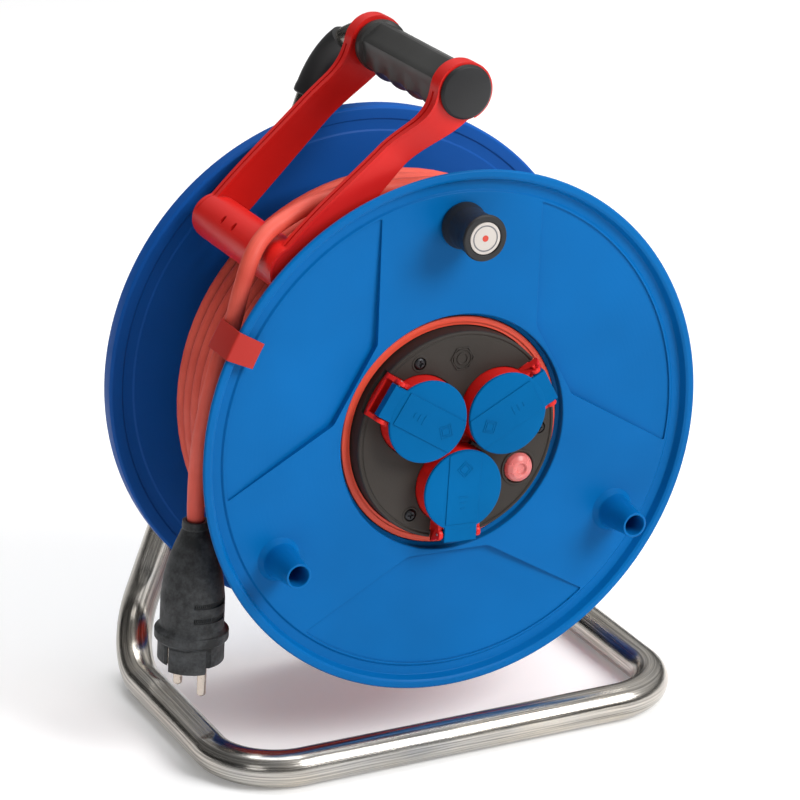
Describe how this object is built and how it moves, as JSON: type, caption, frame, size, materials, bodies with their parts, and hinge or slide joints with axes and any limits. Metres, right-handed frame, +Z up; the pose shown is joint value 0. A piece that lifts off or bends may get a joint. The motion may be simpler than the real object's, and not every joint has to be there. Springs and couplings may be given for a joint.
{
  "type": "extension cord reel",
  "caption": "Extension cord reel on a bent steel tube stand, with a turning drum of cable, crank knob, socket panel with sprung lids, cable guide and plug.",
  "frame": {"origin": "on the ground at the centre of the box of the stand and drum, straight below the drum axis", "axes": "+Z up; the socket panel and crank face -Y; +X to the right as seen from the socket side"},
  "size_m": [0.3028, 0.1914, 0.3774],
  "materials": {
    "tube_steel": "bright zinc-plated tube, drawn marks along its length",
    "zinc_steel": "bright zinc plate",
    "black_plastic": "satin moulded plastic",
    "grip_rubber": "smooth satin rubber-like plastic",
    "plug_rubber": "matt moulded rubber",
    "natural_plastic": "natural unfilled plastic",
    "red_plastic": "semi-gloss moulded plastic",
    "blue_plastic": "semi-gloss moulded plastic",
    "lid_blue": "satin moulded plastic",
    "panel_black": "finely grained moulded plastic",
    "black_screw": "blackened steel",
    "cable_sheath": "matt flexible cable sheath",
    "plug_brass": "nickel-plated brass",
    "contact_brass": "plain brass strip",
    "disc_plastic": "off-white insert",
    "reset_plastic": "translucent rubber-like cap"
  },
  "bodies": {
    "root": {"frame_tube": "tube_steel", "leg_plug": "black_plastic", "axle_bracket": "zinc_steel", "bracket_bolt_left": "zinc_steel", "bracket_bolt_right": "zinc_steel", "bracket_nut_left": "zinc_steel", "bracket_nut_right": "zinc_steel", "axle": "zinc_steel", "axle_washer": "zinc_steel", "axle_nut": "zinc_steel", "thrust_washer": "zinc_steel", "circlip": "zinc_steel", "handle_cap": "black_plastic", "grip": "grip_rubber", "bend_sleeve": "black_plastic", "cable_clip": "red_plastic", "cable_lead": "cable_sheath", "plug_body": "plug_rubber", "plug_pin_1": "plug_brass", "plug_pin_2": "plug_brass", "plug_earth_1": "plug_brass", "plug_earth_2": "plug_brass"},
    "guide": {"cable_guide": "red_plastic"},
    "drum": {"front_flange": "blue_plastic", "winding_core": "blue_plastic", "rear_flange": "blue_plastic", "core_screw_1": "zinc_steel", "core_screw_2": "zinc_steel", "core_screw_3": "zinc_steel", "axle_bush": "natural_plastic", "knob_screw": "zinc_steel", "cable_winding": "cable_sheath", "cable_tail": "cable_sheath", "panel_housing": "red_plastic", "panel_cover": "panel_black", "panel_screw_1": "black_screw", "panel_screw_2": "black_screw", "panel_screw_3": "black_screw", "centre_screw": "black_screw", "socket_block": "red_plastic", "lid_pin_1": "zinc_steel", "lid_pin_2": "zinc_steel", "lid_pin_3": "zinc_steel", "lid_spring_1": "zinc_steel", "lid_spring_2": "zinc_steel", "lid_spring_3": "zinc_steel", "contact_rail_1": "contact_brass", "contact_rail_2": "contact_brass", "earth_bridge": "contact_brass", "cutout_body": "black_plastic", "terminal_block": "natural_plastic", "inlet_clamp": "black_plastic"},
    "knob": {"crank_knob": "black_plastic", "knob_disc": "disc_plastic"},
    "lid_a": {"lid_1": "lid_blue"},
    "lid_b": {"lid_2": "lid_blue"},
    "lid_c": {"lid_3": "lid_blue"},
    "reset": {"reset_cap": "reset_plastic"}
  },
  "joints": [
    {"name": "drum_spin", "type": "hinge", "parent": "root", "child": "drum", "pos_m": [0, 0, 0.176], "axis": [0, 1, 0], "continuous": true},
    {"name": "knob_spin", "type": "hinge", "parent": "drum", "child": "knob", "pos_m": [0.00298, -0.0687, 0.28976], "axis": [0, 1, 0], "continuous": true},
    {"name": "guide_swing", "type": "hinge", "parent": "root", "child": "guide", "pos_m": [0, 0, 0.362], "axis": [0, 1, 0], "range_deg": [0, 60], "deforming": ["cable_lead"]},
    {"name": "lid_hinge_1", "type": "hinge", "parent": "drum", "child": "lid_a", "pos_m": [-0.04311, -0.0793, 0.20399], "axis": [-0.5446, 0, -0.8387], "range_deg": [0, 95], "stiffness_Nm_per_rad": 0.02, "springref_deg": -28.65},
    {"name": "lid_hinge_2", "type": "hinge", "parent": "drum", "child": "lid_b", "pos_m": [0.0458, -0.0793, 0.19934], "axis": [-0.454, 0, 0.891], "range_deg": [0, 95], "stiffness_Nm_per_rad": 0.02, "springref_deg": -28.65},
    {"name": "lid_hinge_3", "type": "hinge", "parent": "drum", "child": "lid_c", "pos_m": [-0.00269, -0.0793, 0.12467], "axis": [0.9986, 0, -0.0523], "range_deg": [0, 95], "stiffness_Nm_per_rad": 0.02, "springref_deg": -28.65},
    {"name": "reset_press", "type": "slide", "parent": "drum", "child": "reset", "axis": [0, 1, 0], "range_m": [0, 0.0025], "stiffness_N_per_m": 600, "springref_m": -0.001}
  ]
}
